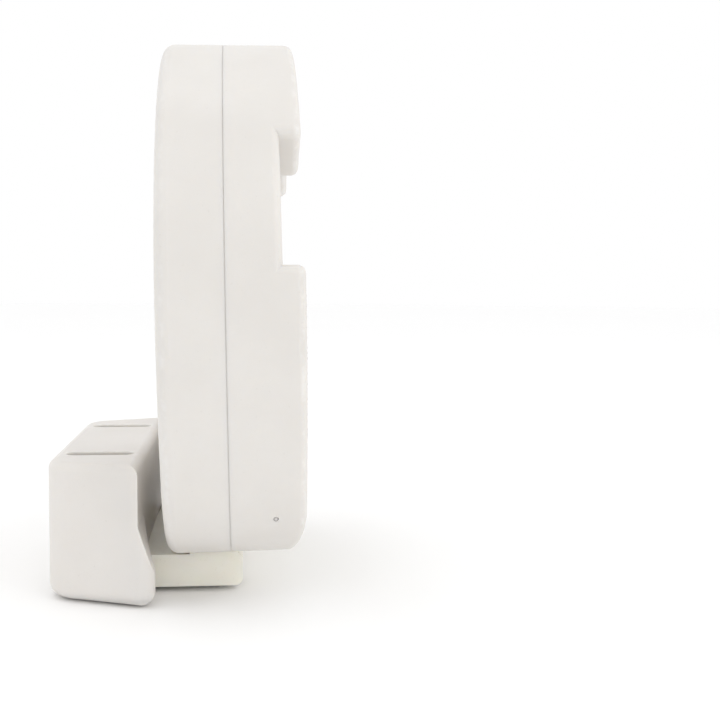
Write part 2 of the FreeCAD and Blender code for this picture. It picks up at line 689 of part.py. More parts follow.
def hinge_pin():
    """Headed pin from inside the knuckle into the ring's bush, on the right."""
    inner = tongue_half() - PIN_WEB - PIN_HEAD
    outer = POCKET_HALF_WIDTH + BUSH_LENGTH - 0.5
    pin = rod(PIN_R, inner + 1, outer, HINGE_S, HINGE_Z)
    pin = pin.fuse(rod(PIN_HEAD_R, inner, inner + PIN_HEAD, HINGE_S, HINGE_Z))
    tip = [e for e in pin.Edges if abs(e.BoundBox.XMin - outer) < 0.01]
    return one_solid(pin.makeChamfer(1.0, tip))


def pin_lock():
    """Plate snapped behind the pin's head to hold the pin out in its bush."""
    inner = tongue_half() - PIN_WEB - PIN_HEAD - LOCK_THICK - 0.2
    return box(inner, inner + LOCK_THICK, HINGE_S - 5.5, HINGE_S + 5.5, tongue_top() + 4, HINGE_Z + 2.0)


def stop_buffers():
    """Two rubber buttons on the tongue's foot that the raised ring comes to rest on."""
    low = tongue_top()
    half = BUFFER_WIDTH / 2
    run = BUFFER_DEPTH / 2
    button = box(BUFFER_X - half, BUFFER_X + half, BUFFER_S - run, BUFFER_S + run, low, low + BUFFER_HEIGHT)
    return Part.makeCompound([button, mirror_x(button)])


def screw(x, s):
    """Pan-headed screw driven upwards from a recess in the base plate."""
    low = PAD_PROUD + HEAD_RECESS - SCREW_HEAD
    head = post(SCREW_HEAD_R, x, s, low, low + SCREW_HEAD)
    head = head.makeFillet(1.0, [e for e in head.Edges if abs(e.BoundBox.ZMax - low) < 0.01])
    shank = post(SCREW_R, x, s, low + 1, low + SCREW_HEAD + SCREW_LENGTH - 1.5)
    body = head.fuse(shank)
    drive = post(2.0, x, s, low - 1, low + 1.6)
    cross = Part.makeBox(3.6, 1.0, 2.6, vec(x - 1.8, s + 0.5, low - 1))
    cross = cross.fuse(Part.makeBox(1.0, 3.6, 2.6, vec(x - 0.5, s + 1.8, low - 1)))
    return one_solid(body.cut(cross.common(drive)))


def screws(places):
    return Part.makeCompound([screw(x, s) for x, s in places])


def raised(shape):
    """The shape turned up about the hinge into its stored position."""
    turned = shape.copy()
    turned.rotate(vec(0, HINGE_S, HINGE_Z), FreeCAD.Vector(1, 0, 0), -RAISE_ANGLE)
    return turned


def save(name, shape):
    shape.exportStep("parts/" + name + ".step")


def main():
    os.makedirs("parts", exist_ok=True)
    deck, base = ring_shells()
    save("ring_deck_shell", raised(deck))
    save("ring_base_shell", raised(base))
    save("rim_pad_front_left", raised(rim_pad(True, -1)))
    save("rim_pad_front_right", raised(rim_pad(True, 1)))
    save("rim_pad_rear_left", raised(rim_pad(False, -1)))
    save("rim_pad_rear_right", raised(rim_pad(False, 1)))
    save("vent_plug", raised(vent_plug()))
    save("hinge_bush_left", raised(mirror_x(hinge_bush())))
    save("hinge_bush_right", raised(hinge_bush()))
    save("block_housing", block_housing())
    save("block_base", block_base())
    save("block_grip_pads", Part.makeCompound(grip_pad_solids()))
    save("slot_sleeve_left", slot_sleeve(-1))
    save("slot_sleeve_right", slot_sleeve(1))
    save("hinge_tongue", hinge_tongue())
    save("hinge_pin_left", mirror_x(hinge_pin()))
    save("hinge_pin_right", hinge_pin())
    save("pin_lock_left", mirror_x(pin_lock()))
    save("pin_lock_right", pin_lock())
    save("stop_buffers", stop_buffers())
    save("base_screws", screws(BASE_SCREWS))
    save("tongue_screws", screws(TONGUE_SCREWS))


main()
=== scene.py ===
import json
import math

import bmesh
import bpy
from mathutils import Matrix, Quaternion, Vector


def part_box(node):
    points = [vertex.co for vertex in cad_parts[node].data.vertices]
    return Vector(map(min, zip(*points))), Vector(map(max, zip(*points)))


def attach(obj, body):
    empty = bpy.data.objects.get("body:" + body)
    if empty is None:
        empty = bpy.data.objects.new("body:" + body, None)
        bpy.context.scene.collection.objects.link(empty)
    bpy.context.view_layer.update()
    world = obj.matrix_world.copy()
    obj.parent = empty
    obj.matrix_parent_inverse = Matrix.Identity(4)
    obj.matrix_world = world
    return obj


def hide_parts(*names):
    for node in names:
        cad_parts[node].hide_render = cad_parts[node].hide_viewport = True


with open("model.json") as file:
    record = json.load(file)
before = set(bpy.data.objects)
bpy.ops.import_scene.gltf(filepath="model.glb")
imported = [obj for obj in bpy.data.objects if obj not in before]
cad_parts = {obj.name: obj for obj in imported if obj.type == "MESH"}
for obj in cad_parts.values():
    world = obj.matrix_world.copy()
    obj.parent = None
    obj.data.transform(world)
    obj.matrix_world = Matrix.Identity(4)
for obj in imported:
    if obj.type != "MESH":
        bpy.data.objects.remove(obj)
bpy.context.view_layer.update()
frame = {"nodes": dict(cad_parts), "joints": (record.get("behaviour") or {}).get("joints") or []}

# Hinged toilet seat riser, in metres, in the frame's own axes: X across, the front towards -Y, Z up.
# The frame holds the ring turned up. "Lying flat" means the ring turned down on to the bowl.

HINGE = frame["joints"][0]
PIVOT = Vector(HINGE["pos_m"])
SWING = math.radians(HINGE["range_deg"][1])
TO_FLAT = Matrix.Translation(PIVOT) @ Matrix.Rotation(SWING, 4, "X") @ Matrix.Translation(-PIVOT)
TO_STORED = TO_FLAT.inverted()
MM = 0.001

# Rubber strips
NUB_PITCH = 3.6 * MM
NUB_RADIUS = 1.15 * MM
NUB_HEIGHT = 0.5 * MM
STRIP_MARGIN = 0.7 * MM
STRIP_EDGE = 0.45 * MM

# Screws
THREAD_TURNS = 8.0
THREAD_DEPTH = 0.45 * MM
THREAD_SIDES = 14
CORE_RADIUS = 1.95 * MM
RECESS_ARM = 4.4 * MM
RECESS_WIDTH = 1.05 * MM
RECESS_DEPTH = 1.5 * MM
SCREW_HEAD = 2.6 * MM
SCREW_SIDES = 28
SHANK_FILLET = 0.4 * MM
SCREW_POINT = 2.2 * MM
THREAD_ABOVE_HEAD = 1.2 * MM
THREAD_ENDS = 4.0 * MM

# Buffers, plug and locks
BUFFER_CORNER = 2 * MM
BUFFER_EDGE = 0.72 * MM
RIDGE_MARGIN = 2.6 * MM
RIDGE_COUNT = 5
RIDGE_RADIUS = 0.55 * MM
LOCK_EDGE = 0.4 * MM

# Picture
CAMERA_PLACE = Vector((-0.82433, -0.09224, 0.20735))
CAMERA_HEADING = 0.10667
CAMERA_DIP = 0.07277
CAMERA_ROLL = 0.00704
CAMERA_LENS = 56.13
CAMERA_SENSOR = 36.0
AIM = (0.0, -0.08, 0.18)
FLOOR_RADIUS = 8.0
FLOOR_BELOW = 0.3 * MM


# Node trees

class Wire:
    """An output socket with Python's arithmetic: each operator adds its Math node."""

    def __init__(self, graph, made, key=0):
        self.graph = graph
        self.made = made
        self.port = pick(made.outputs, key)

    def at(self, key):
        """Another output of the same node."""
        return Wire(self.graph, self.made, key)

    def math(self, operation, *values, clamp=False):
        inputs = {index: value for index, value in enumerate(values)}
        return self.graph.node("ShaderNodeMath", {"operation": operation, "use_clamp": clamp}, inputs)

    def __add__(self, other):
        return self.math("ADD", self, other)

    def __sub__(self, other):
        return self.math("SUBTRACT", self, other)

    def __mul__(self, other):
        return self.math("MULTIPLY", self, other)

    def __truediv__(self, other):
        return self.math("DIVIDE", self, other)

    def __rsub__(self, other):
        return self.math("SUBTRACT", other, self)

    __radd__ = __add__
    __rmul__ = __mul__

    def __abs__(self):
        return self.math("ABSOLUTE", self)

    def lesser(self, other):
        return self.math("MINIMUM", self, other)

    def over(self, low, high):
        """0 below low, 1 above high, with a smooth rise between."""
        steps = {"Value": self, "From Min": low, "From Max": high}
        return self.graph.node("ShaderNodeMapRange", {"interpolation_type": "SMOOTHSTEP"}, steps, "Result")


def pick(ports, key):
    """A socket by place, identifier or name."""
    if isinstance(key, int):
        return ports[key]
    for port in ports:
        if port.identifier == key:
            return port
    return ports[key]


class Graph:
    """A node tree being built, for a finish or for a repeated shape."""

    def __init__(self, tree):
        self.tree = tree

    def node(self, kind, settings=None, inputs=None, out=0):
        """Adds a node: its settings first, then the values or links of its sockets."""
        made = self.tree.nodes.new(kind)
        for name, value in (settings or {}).items():
            if name == "stops":
                self.set_stops(made.color_ramp, value)
            else:
                setattr(made, name, value)
        for key, value in (inputs or {}).items():
            for single in value if isinstance(value, list) else [value]:
                if isinstance(single, Wire):
                    self.tree.links.new(single.port, pick(made.inputs, key))
                else:
                    pick(made.inputs, key).default_value = single
        return Wire(self, made, out) if len(made.outputs) else made

    def set_stops(self, ramp, stops):
        while len(ramp.elements) < len(stops):
            ramp.elements.new(1.0)
        for element, (place, value) in zip(ramp.elements, stops):
            element.position = place
            element.color = value

    def vector(self, operation, *values, out=0):
        inputs = {index: value for index, value in enumerate(values)}
        return self.node("ShaderNodeVectorMath", {"operation": operation}, inputs, out)

    def blend(self, factor, first, second, way="MIX"):
        """Colour mix."""
        settings = {"data_type": "RGBA", "blend_type": way}
        inputs = {"Factor_Float": factor, "A_Color": first, "B_Color": second}
        return self.node("ShaderNodeMix", settings, inputs, "Result_Color")

    def noise(self, where, size, detail=2.0, rough=0.5):
        """Noise whose lumps are about size metres across."""
        inputs = {"Vector": where, "Scale": 1.0 / size, "Detail": detail, "Roughness": rough}
        return self.node("ShaderNodeTexNoise", {}, inputs, "Fac")

    def split(self, where):
        return self.node("ShaderNodeSeparateXYZ", {}, {0: where}, "X")


# Finishes

def rgb(red, green, blue):
    return (red, green, blue, 1.0)


class Finish(Graph):
    """A material on object coordinates, with one Principled shader."""

    def __init__(self, name, flat=False):
        self.material = bpy.data.materials.new(name)
        self.material.use_nodes = True
        super().__init__(self.material.node_tree)
        self.shader = next(n for n in self.tree.nodes if n.type == "BSDF_PRINCIPLED")
        self.here = self.node("ShaderNodeTexCoord", out="Object")
        if flat:
            turn = Matrix.Rotation(SWING, 3, "X")
            place = {"Location": PIVOT - turn @ PIVOT, "Rotation": (SWING, 0.0, 0.0)}
            self.here = self.node("ShaderNodeMapping", {"vector_type": "POINT"},
                                  {"Vector": self.here, **place})

    def stretched(self, scale, turn=(0.0, 0.0, 0.0)):
        return self.node("ShaderNodeMapping", {"vector_type": "POINT"},
                         {"Vector": self.here, "Scale": scale, "Rotation": turn})

    def fixed(self, **values):
        """Values that are the same all over, set on the shader's own sockets."""
        for name, value in values.items():
            self.shader.inputs[name.replace("_", " ")].default_value = value

    def feed(self, name, wire):
        self.tree.links.new(wire.port, self.shader.inputs[name])

    def relief(self, height_mm):
        """Surface relief in millimetres."""
        bump = self.node("ShaderNodeBump", {}, {
            "Strength": 1.0, "Distance": MM, "Height": height_mm}, "Normal")
        self.feed("Normal", bump)


def hairlines(finish, scale, turn, share):
    """Fine scratches: thin contour lines of a drawn-out noise, broken up by a coarser one."""
    drawn = finish.node("ShaderNodeTexNoise", {}, {
        "Vector": finish.stretched(scale, turn), "Scale": 1.0, "Detail": 1.0}, "Fac")
    line = 1 - abs(drawn - 0.5).over(0.0, 0.006)
    patch = finish.noise(finish.here, 30 * MM, 2.0).over(1.0 - share, 1.05 - share)
    return line * patch


def white_moulding(name, pale, deep, flat, wear, darkening):
    """Warm white polyethylene with a fine orange peel, slow waves and light scuffs.

    wear is a function of the finish that gives a mask of rubbed places, and the last argument one of darker
    places: painted shade along the ring's parting groove, darker towards the bottom of the block.
    """
    finish = Finish(name, flat)
    cloud = finish.noise(finish.here, 70 * MM, 3.0, 0.55)
    grain = finish.noise(finish.here, 4 * MM, 2.0)
    speck = finish.noise(finish.here, 1.6 * MM, 0.0).over(0.80, 0.83)
    scratch = hairlines(finish, (60.0, 900.0, 340.0), (0.5, 0.2, 0.9), 0.42)
    rubbed = wear(finish)
    darkened = darkening(finish)
    colour = finish.blend(cloud.over(0.32, 0.72), pale, deep)
    colour = finish.blend(grain.over(0.35, 0.8) * 0.22, colour, deep)
    colour = finish.blend(speck * 0.10, colour, rgb(0.50, 0.46, 0.40))
    # Painted shade along the ring's parting groove; on the block, darker towards the bottom.
    colour = finish.blend(darkened * 0.12, colour, rgb(0.56, 0.52, 0.45))
    colour = finish.blend((rubbed * 0.28 + scratch * 0.25).lesser(1.0), colour, rgb(0.93, 0.92, 0.90))
    finish.feed("Base Color", colour)
    gloss = 0.37 + cloud * 0.10 + grain * 0.07 + scratch * 0.12 + rubbed * 0.10 + darkened * 0.15
    finish.feed("Roughness", gloss)
    peel = finish.noise(finish.here, 1.5 * MM, 2.0)
    waves = finish.noise(finish.here, 38 * MM, 1.0)
    finish.relief(peel * 0.035 + waves * 0.35 - scratch * 0.02)
    finish.fixed(IOR=1.52, Specular_IOR_Level=0.45, Subsurface_Weight=0.35, Subsurface_Scale=7 * MM,
                 Subsurface_Radius=(1.0, 0.9, 0.75))
    return finish.material


def edge_band(level, depth):
    """Mask that is 1 at a level of one axis and fades over depth."""
    return lambda value: 1 - abs(value - level).over(0.0, depth)


def ring_finish():
    """The ring's two mouldings: rubbed at the feet, with painted shade along the parting groove."""
    seam = flat_box("ring_base_shell")[1].z
    lowest = flat_box("ring_base_shell")[0].z
    deck = flat_box("ring_deck_shell")[1].z

    def wear(finish):
        height = finish.split(finish.here).at("Z")
        foot = edge_band(lowest + 2.5 * MM, 2.5 * MM)(height)
        brow = edge_band(deck - 4 * MM, 3 * MM)(height)
        broken = finish.noise(finish.here, 9 * MM, 4.0, 0.65).over(0.45, 0.62)
        return (foot + brow * 0.6).lesser(1.0) * broken

    def darkening(finish):
        height = finish.split(finish.here).at("Z")
        # Painted shade in the parting groove: a darker band at the seam height, broken by noise.
        groove = edge_band(seam, 0.7 * MM)(height)
        return groove * finish.noise(finish.here, 25 * MM, 2.0).over(0.2, 0.6)

    return white_moulding("ring_white_polyethylene", rgb(0.775, 0.745, 0.708), rgb(0.745, 0.715, 0.678),
                          True, wear, darkening)


def block_finish():
    """The block's housing and base: rubbed round the bolt slots, darker towards the foot."""
    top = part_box("block_housing")[1].z
    slot_x = sum(c.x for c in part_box("slot_sleeve_right")) / 2

    def wear(finish):
        place = finish.split(finish.here)
        across = abs(abs(place) - slot_x)
        round_slot = 1 - across.over(8 * MM, 15 * MM)
        on_top = place.at("Z").over(top - 2 * MM, top)
        broken = finish.noise(finish.here, 7 * MM, 4.0, 0.65).over(0.46, 0.6)
        return round_slot * on_top * broken

    def darkening(finish):
        height = finish.split(finish.here).at("Z")
        # Darker towards the bottom of the block, fading out 12 mm up.
        foot = 1 - height.over(0.5 * MM, 12 * MM)
        return foot * finish.noise(finish.here, 14 * MM, 3.0).over(0.42, 0.7) * 0.6

    return white_moulding("block_white_polyethylene", rgb(0.775, 0.742, 0.705), rgb(0.745, 0.712, 0.675),
                          False, wear, darkening)


def tongue_finish():
    """Cream nylon of the hinge tongue, with flow streaks from the gate."""
    finish = Finish("tongue_cream_nylon")
    flow = finish.node("ShaderNodeTexNoise", {}, {
        "Vector": finish.stretched((22.0, 60.0, 150.0)), "Scale": 1.0, "Detail": 4.0,
        "Distortion": 0.8}, "Fac")
    cloud = finish.noise(finish.here, 30 * MM, 3.0)
    fleck = finish.noise(finish.here, 0.9 * MM, 0.0).over(0.76, 0.80)
    colour = finish.blend(cloud.over(0.3, 0.7), rgb(0.955, 0.925, 0.835), rgb(0.92, 0.885, 0.79))
    colour = finish.blend(flow.over(0.5, 0.75) * 0.5, colour, rgb(0.965, 0.94, 0.865))
    colour = finish.blend(fleck * 0.12, colour, rgb(0.45, 0.38, 0.26))
    finish.feed("Base Color", colour)
    finish.feed("Roughness", 0.42 + flow * 0.16 + cloud * 0.05)
    finish.relief(finish.noise(finish.here, 0.8 * MM, 2.0) * 0.03 + flow * 0.08)
    finish.fixed(IOR=1.53, Subsurface_Weight=0.35, Subsurface_Scale=6 * MM,
                 Subsurface_Radius=(1.0, 0.85, 0.6))
    return finish.material


def rubber_finish(name, tone, dusty, flat=False):
    """Grip rubber: fine pores, a dusty bloom and worn paler crowns."""
    finish = Finish(name, flat)
    bloom = finish.noise(finish.here, 12 * MM, 4.0, 0.6)
    pore = finish.noise(finish.here, 0.5 * MM, 1.0)
    height = finish.split(finish.here).at("Z")
    crown = 1 - abs(height).over(0.05 * MM, 0.5 * MM)
    colour = finish.blend(bloom.over(0.35, 0.75) * 0.7, tone, dusty)
    colour = finish.blend(pore.over(0.62, 0.75) * 0.35, colour, rgb(0.10, 0.10, 0.10))
    colour = finish.blend(crown * bloom.over(0.3, 0.6) * 0.35, colour, dusty)
    finish.feed("Base Color", colour)
    finish.feed("Roughness", 0.74 + bloom * 0.16 - crown * 0.08)
    finish.relief(pore * 0.05 + bloom * 0.12)
    finish.fixed(IOR=1.50, Sheen_Weight=0.15, Sheen_Roughness=0.5, Specular_IOR_Level=0.35)
    return finish.material


def steel_finish():
    """Zinc-plated steel: turned streaks, cloudy passivation and a few dark pits."""
    finish = Finish("zinc_plated_steel")
    turned = finish.node("ShaderNodeTexNoise", {}, {
        "Vector": finish.stretched((260.0, 1500.0, 1500.0)), "Scale": 1.0, "Detail": 3.0}, "Fac")
    cloud = finish.noise(finish.here, 2.5 * MM, 4.0, 0.6)
    pit = finish.noise(finish.here, 0.4 * MM, 0.0).over(0.74, 0.80)
    colour = finish.blend(cloud.over(0.3, 0.75), rgb(0.66, 0.67, 0.69), rgb(0.58, 0.56, 0.50))
    colour = finish.blend(pit * 0.6, colour, rgb(0.18, 0.17, 0.16))
    finish.feed("Base Color", colour)
    finish.feed("Roughness", 0.26 + turned * 0.18 + cloud * 0.10 + pit * 0.2)
    finish.feed("Metallic", 1 - pit * 0.5)
    finish.relief(turned * 0.02 - pit * 0.02)
    return finish.material


def slick_finish(name, pale, deep, size, gloss):
    """Turned or moulded bearing plastic: close-grained, with faint machining rings along X."""
    finish = Finish(name)
    grain = finish.noise(finish.here, size, 3.0, 0.6)
    across = finish.split(finish.here)
    rings = across.math("SINE", across * (2 * math.pi / (0.45 * MM)))
    colour = finish.blend(grain.over(0.3, 0.7), pale, deep)
    finish.feed("Base Color", colour)
    finish.feed("Roughness", gloss + grain * 0.14)
    finish.relief(rings * 0.006 + grain * 0.03)
    finish.fixed(IOR=1.48)
    return finish.material


def floor_finish():
    finish = Finish("studio_floor")
    cloud = finish.noise(finish.here, 0.6, 2.0)
    finish.feed("Base Color", finish.blend(cloud, rgb(0.995, 0.995, 0.995), rgb(0.985, 0.985, 0.985)))
    finish.fixed(Roughness=0.9)
    return finish.material


# Shapes

def flat_box(node):
    """(lowest, highest) corner of a ring node with the ring lying flat."""
    points = [TO_FLAT @ v.co for v in frame["nodes"][node].data.vertices]
    low = Vector(min(p[i] for p in points) for i in range(3))
    high = Vector(max(p[i] for p in points) for i in range(3))
    return low, high


def merged_copy(node):
    """A bmesh copy of a CAD node with its loose triangles joined and flat faces made whole."""
    shape = bmesh.new()
    shape.from_mesh(frame["nodes"][node].data)
    bmesh.ops.remove_doubles(shape, verts=shape.verts, dist=1e-6)
    bmesh.ops.dissolve_limit(shape, angle_limit=math.radians(0.5), verts=shape.verts, edges=shape.edges)
    return shape


def islands(node):
    """(lowest, highest) corner of each separate solid of a CAD node."""
    shape = merged_copy(node)
    left = set(shape.verts)
    found = []
    while left:
        group = [left.pop()]
        for vert in group:
            for edge in vert.link_edges:
                other = edge.other_vert(vert)
                if other in left:
                    left.discard(other)
                    group.append(other)
        low = Vector(min(v.co[i] for v in group) for i in range(3))
        high = Vector(max(v.co[i] for v in group) for i in range(3))
        found.append((low, high))
    shape.free()
    return sorted(found, key=lambda pair: tuple(pair[0]))


def new_piece(name, shape, material, smooth_angle=35.0):
    """A mesh object from a bmesh, smooth except across sharp edges."""
    mesh = bpy.data.meshes.new(name)
    for face in shape.faces:
        face.smooth = True
    for edge in shape.edges:
        if len(edge.link_faces) == 2:
            edge.smooth = edge.calc_face_angle() < math.radians(smooth_angle)
    shape.to_mesh(mesh)
    shape.free()
    mesh.materials.append(material)
    piece = bpy.data.objects.new(name, mesh)
    bpy.context.scene.collection.objects.link(piece)
    return piece


def place(piece, body, slot, *nodes):
    """Gives a finished piece its body and hides the CAD nodes it stands for. The slot is not used."""
    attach(piece, body)
    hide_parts(*nodes)
    return piece


def grown(piece, tree, sizes):
    """Runs a Geometry Nodes tree on a piece and keeps the result as a plain mesh."""
    modifier = piece.modifiers.new("shape", "NODES")
    modifier.node_group = tree
    for item in tree.interface.items_tree:
        if item.in_out == "INPUT" and item.name in sizes:
            modifier[item.identifier] = sizes[item.name]
    evaluated = piece.evaluated_get(bpy.context.evaluated_depsgraph_get())
    mesh = bpy.data.meshes.new_from_object(evaluated)
    piece.modifiers.clear()
    old = piece.data
    piece.data = mesh
    bpy.data.meshes.remove(old)
    return piece


class Shape(Graph):
    """A Geometry Nodes tree with named inputs, from the incoming mesh to a finished one."""

    def __init__(self, name, sizes):
        super().__init__(bpy.data.node_groups.new(name, "GeometryNodeTree"))
        face = self.tree.interface
        face.new_socket(name="Mesh", in_out="INPUT", socket_type="NodeSocketGeometry")
        face.new_socket(name="Mesh", in_out="OUTPUT", socket_type="NodeSocketGeometry")
        for key, kind in sizes.items():
            face.new_socket(name=key, in_out="INPUT", socket_type="NodeSocket" + kind)
        self.given = self.node("NodeGroupInput", out="Mesh")

    def size(self, key):
        return self.given.at(key)

    def finish(self, geometry, material):
        """Ends the tree in real geometry with its material."""
        real = self.node("GeometryNodeRealizeInstances", {}, {0: geometry})
        painted = self.node("GeometryNodeSetMaterial", {}, {"Geometry": real, "Material": material})
        self.node("NodeGroupOutput", {}, {"Mesh": painted})
        return self.tree


def nub_tree():
    """Covers the underside of a strip with staggered round nubs, kept clear of its edges."""
    sizes = {"Pitch": "Float", "Radius": "Float", "Height": "Float", "Margin": "Float", "Rubber": "Material"}
    shape = Shape("nubbed_strip", sizes)
    strip = shape.given
    pitch = shape.size("Pitch")
    row_pitch = pitch * (math.sqrt(3) / 2)
    bounds = shape.node("GeometryNodeBoundBox", {}, {0: strip}, "Min")
    low = shape.split(bounds)
    high = shape.split(bounds.at("Max"))
    width = high - low
    depth = high.at("Y") - low.at("Y")
    columns = low.math("CEIL", width / pitch) + 2
    rows = low.math("CEIL", depth / row_pitch) + 2
    grid = shape.node("GeometryNodeMeshGrid", {}, {
        "Size X": (columns - 1) * pitch, "Size Y": (rows - 1) * row_pitch,
        "Vertices X": columns, "Vertices Y": rows}, "Mesh")
    middle = shape.vector("SCALE", shape.vector("ADD", bounds, bounds.at("Max")))
    middle.made.inputs["Scale"].default_value = 0.5
    where = shape.split(shape.node("GeometryNodeInputPosition"))
    row = low.math("ROUND", (where.at("Y") + rows * row_pitch) / row_pitch)
    stagger = low.math("MODULO", row, 2.0) * pitch * 0.5
    shift = shape.node("ShaderNodeCombineXYZ", {}, {"X": stagger})
    moved = shape.node("GeometryNodeSetPosition", {}, {
        "Geometry": grid, "Offset": shape.vector("ADD", middle, shift)})
    spot = shape.split(shape.node("GeometryNodeInputPosition"))
    below = shape.node("ShaderNodeCombineXYZ", {}, {
        "X": spot, "Y": spot.at("Y"), "Z": low.at("Z") - pitch})
    ray = shape.node("GeometryNodeRaycast", {"data_type": "FLOAT"}, {
        "Target Geometry": strip, "Source Position": below,
        "Ray Direction": (0.0, 0.0, 1.0), "Ray Length": 1.0}, "Is Hit")
    normal = shape.split(shape.node("GeometryNodeInputNormal"))
    upright = shape.node("FunctionNodeCompare", {"data_type": "FLOAT", "operation": "LESS_THAN"}, {
        0: abs(normal.at("Z")), 1: 0.5})
    sides = shape.node("GeometryNodeSeparateGeometry", {"domain": "FACE"}, {
        "Geometry": strip, "Selection": upright}, "Selection")
    seat = ray.at("Hit Position")
    near = shape.node("GeometryNodeProximity", {"target_element": "FACES"}, {
        0: sides, "Sample Position": seat}, "Distance")
    clear = shape.node("FunctionNodeCompare", {"data_type": "FLOAT", "operation": "GREATER_THAN"}, {
        0: near, 1: shape.size("Margin") + shape.size("Radius")})
    wanted = shape.node("FunctionNodeBooleanMath", {"operation": "AND"}, {0: ray, 1: clear})
    seated = shape.node("GeometryNodeSetPosition", {}, {
        "Geometry": moved, "Position": seat, "Selection": wanted})
    points = shape.node("GeometryNodeMeshToPoints", {}, {"Mesh": seated, "Selection": wanted})
    nub = shape.node("GeometryNodeMeshCone", {}, {
        "Vertices": 12, "Radius Top": shape.size("Radius") * 0.62, "Radius Bottom": shape.size("Radius"),
        "Depth": shape.size("Height")}, "Mesh")
    turn = shape.node("FunctionNodeRandomValue", {"data_type": "FLOAT"}, {
        "Max_001": 2 * math.pi, "Seed": 11}, "Value_001")
    facing = shape.node("ShaderNodeCombineXYZ", {}, {"X": math.pi, "Z": turn})
    nubs = shape.node("GeometryNodeInstanceOnPoints", {}, {
        "Points": points, "Instance": nub, "Rotation": facing})
    joined = shape.node("GeometryNodeJoinGeometry", {}, {"Geometry": [strip, nubs]})
    return shape.finish(joined, shape.size("Rubber"))


def rounded_edges(shape, radius, segments=3, angle=40.0):
    """Rounds every edge of a bmesh that is sharper than an angle."""
    sharp = [edge for edge in shape.edges if len(edge.link_faces) == 2
             and edge.calc_face_angle() > math.radians(angle)]
    bmesh.ops.bevel(shape, geom=sharp, offset=radius, offset_type="OFFSET", segments=segments,
                    profile=0.5, affect="EDGES", clamp_overlap=True)


def grip_strip(name, node, body, rubber, tree, turned):
    """A rubber strip with rounded edges and nubs under it, in place of a plain pad."""
    shape = merged_copy(node)
    if turned:
        bmesh.ops.transform(shape, matrix=TO_FLAT, verts=shape.verts)
    bottom = min(vert.co.z for vert in shape.verts)
    for vert in shape.verts:
        if vert.co.z < bottom + 0.1 * MM:
            vert.co.z = bottom + NUB_HEIGHT
    rounded_edges(shape, STRIP_EDGE)
    piece = new_piece(name, shape, rubber)
    sizes = {"Pitch": NUB_PITCH, "Radius": NUB_RADIUS, "Height": NUB_HEIGHT,
             "Margin": STRIP_MARGIN, "Rubber": rubber}
    grown(piece, tree, sizes)
    if turned:
        piece.data.transform(TO_STORED)
    return place(piece, body, "grip_rubber", node)


def turned_profile(steps, sides):
    """A bmesh turned about Z from (radius, height) steps, closed at both ends."""
    shape = bmesh.new()
    rings = []
    for radius, height in steps:
        if radius == 0.0:
            rings.append([shape.verts.new((0.0, 0.0, height))])
            continue
        angles = [2 * math.pi * i / sides for i in range(sides)]
        rings.append([shape.verts.new((radius * math.cos(a), radius * math.sin(a), height)) for a in angles])
    for lower, upper in zip(rings, rings[1:]):
        for i in range(sides):
            j = (i + 1) % sides
            corners = [lower[i % len(lower)], lower[j % len(lower)],
                       upper[j % len(upper)], upper[i % len(upper)]]
            shape.faces.new(list(dict.fromkeys(corners)))
    bmesh.ops.recalc_face_normals(shape, faces=shape.faces)
    return shape


def screw_tree():
    """Cuts the cross recess in one screw, winds its thread, and sets a copy at each place."""
    shape = Shape("screw_set", {"Places": "Object", "Thread start": "Float", "Thread height": "Float",
                                "Steel": "Material"})
    arms = []
    for across, along in ((RECESS_ARM, RECESS_WIDTH), (RECESS_WIDTH, RECESS_ARM)):
        arms.append(shape.node("GeometryNodeMeshCube", {}, {
            "Size": (across, along, 2 * RECESS_DEPTH)}, "Mesh"))
    body = shape.node("GeometryNodeMeshBoolean", {"operation": "DIFFERENCE", "solver": "EXACT"}, {
        "Mesh 1": shape.given, "Mesh 2": arms}, "Mesh")
    helix = shape.node("GeometryNodeCurveSpiral", {}, {
        "Resolution": THREAD_SIDES, "Rotations": THREAD_TURNS, "Start Radius": CORE_RADIUS,
        "End Radius": CORE_RADIUS, "Height": shape.size("Thread height")})
    ridge = shape.node("GeometryNodeCurvePrimitiveCircle", {}, {"Resolution": 4, "Radius": THREAD_DEPTH})
    thread = shape.node("GeometryNodeCurveToMesh", {}, {
        "Curve": helix, "Profile Curve": ridge, "Fill Caps": True})
    lift = shape.node("ShaderNodeCombineXYZ", {}, {"Z": shape.size("Thread start")})
    raised = shape.node("GeometryNodeTransform", {}, {"Geometry": thread, "Translation": lift})
    whole = shape.node("GeometryNodeJoinGeometry", {}, {"Geometry": [body, raised]})
    places = shape.node("GeometryNodeObjectInfo", {"transform_space": "ORIGINAL"}, {
        "Object": shape.size("Places")}, "Geometry")
    points = shape.node("GeometryNodeMeshToPoints", {}, {"Mesh": places})
    turn = shape.node("FunctionNodeRandomValue", {"data_type": "FLOAT"}, {
        "Max_001": math.pi / 2, "Seed": 5}, "Value_001")
    facing = shape.node("ShaderNodeCombineXYZ", {}, {"Z": turn})
    copies = shape.node("GeometryNodeInstanceOnPoints", {}, {
        "Points": points, "Instance": whole, "Rotation": facing})
    return shape.finish(copies, shape.size("Steel"))


